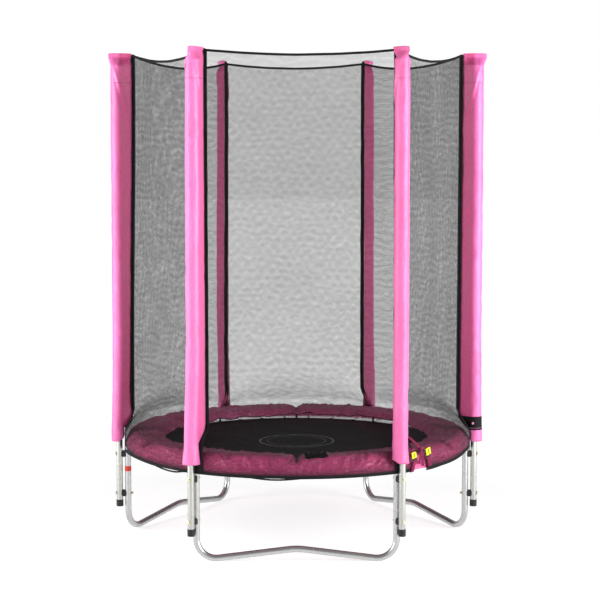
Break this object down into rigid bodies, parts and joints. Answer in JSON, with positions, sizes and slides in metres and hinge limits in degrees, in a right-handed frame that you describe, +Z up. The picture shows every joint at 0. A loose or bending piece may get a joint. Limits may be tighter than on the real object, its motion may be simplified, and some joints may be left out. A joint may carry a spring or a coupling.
{
  "type": "trampoline",
  "caption": "Round junior trampoline: bent tube legs, sprung mat, padded ring frame, padded upright poles and a mesh safety net with a zipped door.",
  "frame": {"origin": "point on the ground plane, below the centre of the jump mat", "axes": "+Z up; the front panel of the net faces -Y; +X is to the right seen from the front"},
  "size_m": [1.5534, 1.41, 1.9309],
  "materials": {
    "galvanised_ring": "galvanised, faint spangle",
    "galvanised_leg": "bright galvanised",
    "galvanised_pole": "satin galvanised",
    "pink_pvc_sleeve": "coated fabric, soft sheen",
    "pink_pvc_pad": "coated fabric, soft sheen",
    "black_plastic": "moulded, matt",
    "zinc_hardware": "yellow zinc plated",
    "grey_foam": "closed-cell foam",
    "black_webbing": "woven tape",
    "red_tape": "adhesive tape",
    "black_net": "open polyester mesh",
    "zip_tape": "woven tape with coil edge",
    "zip_metal": "painted",
    "yellow_buckle": "moulded acetal",
    "black_buckle": "moulded acetal",
    "pink_strap": "woven webbing",
    "black_mat": "woven polypropylene",
    "mat_webbing": "woven webbing",
    "spring_steel": "zinc plated"
  },
  "bodies": {
    "frame": {"buckle_anchor_straps": "pink_strap", "buckle_receivers": "yellow_buckle", "leg_front": "galvanised_leg", "leg_left": "galvanised_leg", "leg_right": "galvanised_leg", "marker_band": "red_tape", "net_door_surround": "black_net", "net_edge_tapes": "black_webbing", "net_hem_cord": "black_webbing", "net_panel_front": "black_net", "net_panel_front_left": "black_net", "net_panel_left": "black_net", "net_panel_rear": "black_net", "net_panel_right": "black_net", "net_top_cord": "black_webbing", "pad_cover": "pink_pvc_pad", "pad_foam": "grey_foam", "pad_ties": "mat_webbing", "pole_bolts": "zinc_hardware", "pole_bottom_caps": "black_plastic", "pole_foam": "grey_foam", "pole_lower_front_left": "galvanised_pole", "pole_lower_front_right": "galvanised_pole", "pole_lower_left": "galvanised_pole", "pole_lower_rear_left": "galvanised_pole", "pole_lower_rear_right": "galvanised_pole", "pole_lower_right": "galvanised_pole", "pole_nuts": "zinc_hardware", "pole_spacers": "black_plastic", "pole_top_caps": "black_plastic", "pole_upper_front_left": "galvanised_pole", "pole_upper_front_right": "galvanised_pole", "pole_upper_left": "galvanised_pole", "pole_upper_rear_left": "galvanised_pole", "pole_upper_rear_right": "galvanised_pole", "pole_upper_right": "galvanised_pole", "pole_washers": "zinc_hardware", "ring_section_front": "galvanised_ring", "ring_section_left": "galvanised_ring", "ring_section_right": "galvanised_ring", "sleeve_band": "black_webbing", "sleeve_front_left": "pink_pvc_sleeve", "sleeve_front_right": "pink_pvc_sleeve", "sleeve_left": "pink_pvc_sleeve", "sleeve_rear_left": "pink_pvc_sleeve", "sleeve_rear_right": "pink_pvc_sleeve", "sleeve_right": "pink_pvc_sleeve", "springs": "spring_steel", "zip_tape_post": "zip_tape"},
    "mat": {"jump_mat": "black_mat", "mat_webbing": "mat_webbing", "v_rings": "spring_steel"},
    "door_flap": {"net_door_flap": "black_net", "zip_tape_flap": "zip_tape"},
    "zip_slider": {"zip_slider": "zip_metal"},
    "buckle_plug_left": {"buckle_plug_left": "black_buckle", "buckle_tail_left": "pink_strap"},
    "buckle_plug_right": {"buckle_plug_right": "black_buckle", "buckle_tail_right": "pink_strap"}
  },
  "joints": [
    {"name": "mat_bounce", "type": "slide", "parent": "frame", "child": "mat", "axis": [0, 0, -1], "range_m": [0, 0.15], "stiffness_N_per_m": 6000, "deforming": ["springs"]},
    {"name": "door_swing", "type": "hinge", "parent": "frame", "child": "door_flap", "pos_m": [0.64424, -0.04974, 1.15], "axis": [0, 0, 1], "range_deg": [0, 70]},
    {"name": "zip_slide", "type": "slide", "parent": "frame", "child": "zip_slider", "axis": [0, 0, 1], "range_m": [0, 1.051]},
    {"name": "buckle_release_left", "type": "slide", "parent": "frame", "child": "buckle_plug_left", "axis": [0.2028, 0.1608, -0.9659], "range_m": [0, 0.025]},
    {"name": "buckle_release_right", "type": "slide", "parent": "frame", "child": "buckle_plug_right", "axis": [0.1846, 0.1814, -0.9659], "range_m": [0, 0.025]}
  ],
  "couplings": [
    {"joint": "zip_slide", "follows": "door_swing", "m_per_rad": 0.8594}
  ]
}
